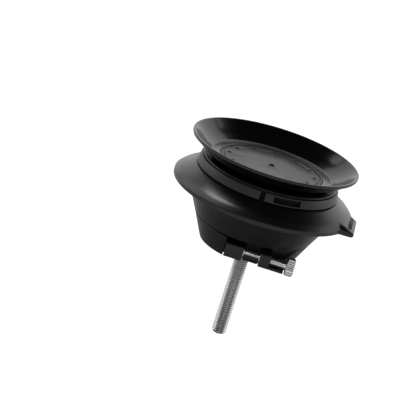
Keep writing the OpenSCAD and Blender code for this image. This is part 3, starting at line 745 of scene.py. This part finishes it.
class MOUNT_OT_clamp_screw(bpy.types.Operator):
    """Turns the clamp screw along the hinge: fine thread, knurled head and hex socket"""

    bl_idname = "mount.clamp_screw"
    bl_label = "Clamp screw"

    def execute(self, context):
        low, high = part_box("clamp_screw")
        axis = Vector(joint("clamp_screw_turn")["pos_m"])
        crest, head_r, head_w = 1.5 * MM, (high.z - low.z) / 2, 2.8 * MM
        head_x = high.x - head_w
        pitch, depth, run_out = shapes().screw_pitch, 0.26 * MM, 0.3 * MM
        angles = np.linspace(0, 2 * math.pi, 360, endpoint=False)[None, :]
        one = np.ones_like(angles)
        along = np.arange(low.x + run_out, head_x - run_out, pitch / 6)[:, None]
        fade = soft_step((head_x - run_out - along) / pitch)
        thread = threaded_radius(angles, along, crest, pitch, depth * fade)
        knurl_depth = 0.2 * MM
        groove = knurl_depth * (0.5 - 0.5 * np.cos(angles * shapes().knurl_count)) ** 0.8
        socket = hexagon(angles, 1.25 * MM)
        rows = [(0 * one, low.x), ((crest - 0.35 * MM) * one, low.x), (thread, along),
                (crest * one, head_x - 0.05 * MM), ((head_r - 0.45 * MM) * one, head_x),
                ((head_r - 0.25 * MM) * one, head_x + 0.12 * MM),
                (head_r - groove, head_x + 0.4 * MM), (head_r - groove, head_x + 0.5 * MM),
                (head_r - groove, high.x - 0.5 * MM), (head_r - groove, high.x - 0.4 * MM),
                ((head_r - 0.28 * MM) * one, high.x - 0.12 * MM), ((head_r - 0.5 * MM) * one, high.x),
                ((head_r - 1.0 * MM) * one, high.x), (socket, high.x), (socket, high.x - 0.1 * MM),
                (socket, high.x - 1.3 * MM), (0 * one, high.x - 1.5 * MM)]
        radius = np.concatenate([np.broadcast_to(r, (np.size(x), angles.size)) for r, x in rows])
        place = np.concatenate([np.broadcast_to(x, (np.size(x), angles.size)) for r, x in rows])
        points = np.stack([place, axis.y + radius * np.cos(angles),
                           axis.z + radius * np.sin(angles)], axis=-1)
        screw = grid_object("clamp_screw_skin", points, close_rows=False)
        steel = metal("screw_steel", (0.8, 0.8, 0.81), 0.16, streak=(0.2, 1, 1))
        dress(screw, "clamp_screw", "screw_steel", steel, "clamp_screw")
        return {"FINISHED"}


class MOUNT_OT_inner_pieces(bpy.types.Operator):
    """Gives the pieces that are packed inside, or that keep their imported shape, their materials"""

    bl_idname = "mount.inner_pieces"
    bl_label = "Inner pieces"

    def execute(self, context):
        steel = metal("plain_steel", (0.6, 0.6, 0.61), 0.3)
        dark = satin_plastic("inner_plastic", 0.5)
        finishes = {
            "bolt_washer": steel, "hinge_washers": steel, "housing_screws": steel, "cam_bridge": steel,
            "keeper_plate": metal("keeper_steel", (0.42, 0.42, 0.44), 0.4),
            "threaded_insert": metal("insert_brass", (0.7, 0.5, 0.24), 0.3),
            "return_spring": metal("spring_wire", (0.6, 0.6, 0.62), 0.25),
            "valve_spring": metal("valve_wire", (0.6, 0.6, 0.62), 0.25),
            "magnets": metal("magnet_nickel", (0.7, 0.68, 0.62), 0.15),
            "magnet_carrier": dark, "valve_stem": dark,
            "slip_washer": moulded("slip_plastic", (0.7, 0.7, 0.7), 0.45, looks().grain_size, 0.004 * MM),
            "seal_ring": moulded("seal_rubber", looks().rubber_colour, 0.4, 0.0004, 0.004 * MM),
        }
        for node, material in finishes.items():
            paint(frame["nodes"][node], material)

        # the valve's spring rides on the head as a copy with a mesh of its own
        spring = bpy.data.objects.new("valve_spring_wire", frame["nodes"]["valve_spring"].data.copy())
        context.scene.collection.objects.link(spring)
        dress(spring, "head", "spring_steel", finishes["valve_spring"], "valve_spring")
        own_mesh(spring)
        return {"FINISHED"}


class MOUNT_OT_stage(bpy.types.Operator):
    """Makes the camera, the floor, the world and the lamps"""

    bl_idname = "mount.stage"
    bl_label = "Stage"

    def lamp(self, scene, name, place, aim, size, power):
        """Area lamp at place, turned to aim."""
        data = bpy.data.lights.new(name, "AREA")
        data.shape = "RECTANGLE"
        data.size, data.size_y = size
        data.energy = power * studio().lamp_level
        lamp = bpy.data.objects.new(name, data)
        scene.collection.objects.link(lamp)
        lamp.visible_camera = False
        lamp.location = place
        lamp.rotation_euler = (Vector(aim) - Vector(place)).to_track_quat("-Z", "Y").to_euler()

    def camera(self, scene):
        """Camera: its axes come from azimuth, elevation and roll, its place from the aim point's pixel."""
        kit = studio()
        forward = Vector((-math.sin(kit.azimuth) * math.cos(kit.elevation),
                          math.cos(kit.azimuth) * math.cos(kit.elevation), -math.sin(kit.elevation)))
        level = forward.cross(Vector((0, 0, 1))).normalized()
        upright = level.cross(forward)
        right = math.cos(kit.roll) * level + math.sin(kit.roll) * upright
        up = -math.sin(kit.roll) * level + math.cos(kit.roll) * upright
        half_frame, sensor_mm = 200, 36
        aside = (kit.aim_px[0] - half_frame) / kit.focal_px * kit.distance
        above = (half_frame - kit.aim_px[1]) / kit.focal_px * kit.distance
        data = bpy.data.cameras.new("camera")
        data.sensor_width = sensor_mm
        data.lens = kit.focal_px * sensor_mm / (2 * half_frame)
        data.clip_start = 0.01
        camera = bpy.data.objects.new("camera", data)
        scene.collection.objects.link(camera)
        camera.matrix_world = Matrix((right, up, -forward)).transposed().to_4x4()
        camera.location = Vector((0, 0, kit.aim_height)) - forward * kit.distance - right * aside - up * above
        scene.camera = camera

    def floor(self):
        """Floor just under the bolt's tip, white to the camera.

        Reflections see it glow as painted light, pale farther out and left dark just under the object as a
        painted shadow.
        """
        floor_z = CAD_BOX[0].z - 0.2 * MM
        span, albedo, white, mirrored = 3.0, 0.3, 0.97, 0.5
        painted_shadow_reach, pale_from = 0.035, 0.1
        corner = np.array([[-1, -1], [1, -1], [-1, 1], [1, 1]], float).reshape(2, 2, 2) * span
        ground = np.concatenate([corner, np.full((2, 2, 1), floor_z)], axis=-1)
        floor = grid_object("floor", ground, close_rows=False, close_columns=False)
        material = bpy.data.materials.new("floor_white")
        material.use_nodes = True
        tree = material.node_tree
        shader = tree.nodes["Principled BSDF"]
        shader.inputs["Base Color"].default_value = (albedo, albedo, albedo, 1)
        shader.inputs["Roughness"].default_value = 0.9
        shader.inputs["Specular IOR Level"].default_value = 0.0
        shader.inputs["Emission Color"].default_value = (1, 1, 1, 1)
        path = tree.nodes.new("ShaderNodeLightPath")
        seen = node_of(tree, "ShaderNodeMath", operation="MULTIPLY")
        seen.inputs[1].default_value = white
        link(tree, path.outputs["Is Camera Ray"], seen.inputs[0])
        place = tree.nodes.new("ShaderNodeTexCoord")
        away = node_of(tree, "ShaderNodeVectorMath", operation="DISTANCE")
        away.inputs[1].default_value = (0, 0, floor_z)
        link(tree, place.outputs["Object"], away.inputs[0])
        # painted light and painted shadow: for reflected rays the floor glows, dark near the axis as the
        # object's shadow and pale farther out
        pale = node_of(tree, "ShaderNodeMapRange", interpolation_type="SMOOTHSTEP")
        pale.inputs["From Min"].default_value = painted_shadow_reach
        pale.inputs["From Max"].default_value = pale_from
        pale.inputs["To Max"].default_value = mirrored
        link(tree, away.outputs["Value"], pale.inputs["Value"])
        glow = node_of(tree, "ShaderNodeMath", operation="MULTIPLY_ADD")
        link(tree, pale.outputs["Result"], glow.inputs[1])
        link(tree, path.outputs["Is Glossy Ray"], glow.inputs[0])
        link(tree, seen.outputs[0], glow.inputs[2])
        link(tree, glow.outputs[0], shader.inputs["Emission Strength"])
        paint(floor, material)

    def world(self, scene):
        """World: white to the camera and nearly dark as light.

        Reflections see pale walls up to 30 degrees, and a dark ceiling from 55 degrees up.
        """
        as_light, as_wall = 0.03, 0.4
        wall_top, ceiling = math.radians(30), math.radians(55)
        world = bpy.data.worlds.new("studio_world")
        world.use_nodes = True
        scene.world = world
        tree = world.node_tree
        back = tree.nodes["Background"]
        back.inputs["Color"].default_value = (1, 1, 1, 1)
        path = tree.nodes.new("ShaderNodeLightPath")
        seen = node_of(tree, "ShaderNodeMapRange")
        seen.inputs["To Min"].default_value = as_light
        seen.inputs["To Max"].default_value = 1.0
        link(tree, path.outputs["Is Camera Ray"], seen.inputs["Value"])
        direction = tree.nodes.new("ShaderNodeTexCoord")
        parts = tree.nodes.new("ShaderNodeSeparateXYZ")
        link(tree, direction.outputs["Generated"], parts.inputs[0])
        walls = node_of(tree, "ShaderNodeMapRange", interpolation_type="SMOOTHSTEP")
        walls.inputs["From Min"].default_value = math.sin(wall_top)
        walls.inputs["From Max"].default_value = math.sin(ceiling)
        walls.inputs["To Min"].default_value = as_wall
        walls.inputs["To Max"].default_value = 0.0
        link(tree, parts.outputs["Z"], walls.inputs["Value"])
        mirrored = node_of(tree, "ShaderNodeMath", operation="MULTIPLY_ADD")
        link(tree, path.outputs["Is Glossy Ray"], mirrored.inputs[0])
        link(tree, walls.outputs["Result"], mirrored.inputs[1])
        link(tree, seen.outputs["Result"], mirrored.inputs[2])
        link(tree, mirrored.outputs[0], back.inputs["Strength"])

    def execute(self, context):
        scene = context.scene
        scene.view_settings.view_transform = "Standard"
        self.camera(scene)
        self.floor()
        self.world(scene)
        aim = (0, 0, studio().aim_height)
        # name, place, size and radiance of each lamp
        panels = (
            ("back", (0.0, 1.05, 0.42), (2.0, 1.0), 0.72),
            ("left", (-1.0, 0.25, 0.45), (0.9, 1.0), 1.2),
            ("right", (1.0, 0.3, 0.40), (0.8, 0.9), 0.9),
            ("key", (-0.33, 0.11, 0.70), (0.26, 0.26), 9.0),
            ("strip", (0.1, -0.75, 0.65), (0.7, 0.07), 4.0),
            ("front_low", (0.25, -0.9, -0.02), (0.8, 0.25), 0.45),
        )
        for name, place, size, radiance in panels:
            self.lamp(scene, name, place, aim, size, radiance * size[0] * size[1] * math.pi)
        return {"FINISHED"}


class MOUNT_PT_panel(bpy.types.Panel):
    """Lists the sizes, finishes and steps"""

    bl_idname = "MOUNT_PT_panel"
    bl_label = "Phone Mount"
    bl_space_type = "VIEW_3D"
    bl_region_type = "UI"
    bl_category = "Phone Mount"

    def draw(self, context):
        for group in (looks(), shapes(), studio()):
            box = self.layout.box()
            for key in group.bl_rna.properties.keys():
                if key not in {"rna_type", "name"}:
                    box.prop(group, key)
        for step in STEPS:
            self.layout.operator(step.bl_idname)


GROUPS = {"mount_looks": MountLooks, "mount_shapes": MountShapes, "mount_studio": MountStudio}
STEPS = (MOUNT_OT_stage, MOUNT_OT_suction_cup, MOUNT_OT_release_ring, MOUNT_OT_mouldings,
         MOUNT_OT_cap_bolt, MOUNT_OT_clamp_screw, MOUNT_OT_inner_pieces)


def register():
    for name, group in GROUPS.items():
        bpy.utils.register_class(group)
        setattr(bpy.types.Scene, name, bpy.props.PointerProperty(type=group))
    for step in STEPS:
        bpy.utils.register_class(step)
    bpy.utils.register_class(MOUNT_PT_panel)


def unregister():
    bpy.utils.unregister_class(MOUNT_PT_panel)
    for step in reversed(STEPS):
        bpy.utils.unregister_class(step)
    for name, group in GROUPS.items():
        delattr(bpy.types.Scene, name)
        bpy.utils.unregister_class(group)


def main():
    """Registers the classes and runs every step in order."""
    register()
    for step in STEPS:
        group, name = step.bl_idname.split(".")
        getattr(getattr(bpy.ops, group), name)()
    bpy.context.view_layer.update()


if __name__ == "__main__":
    main()
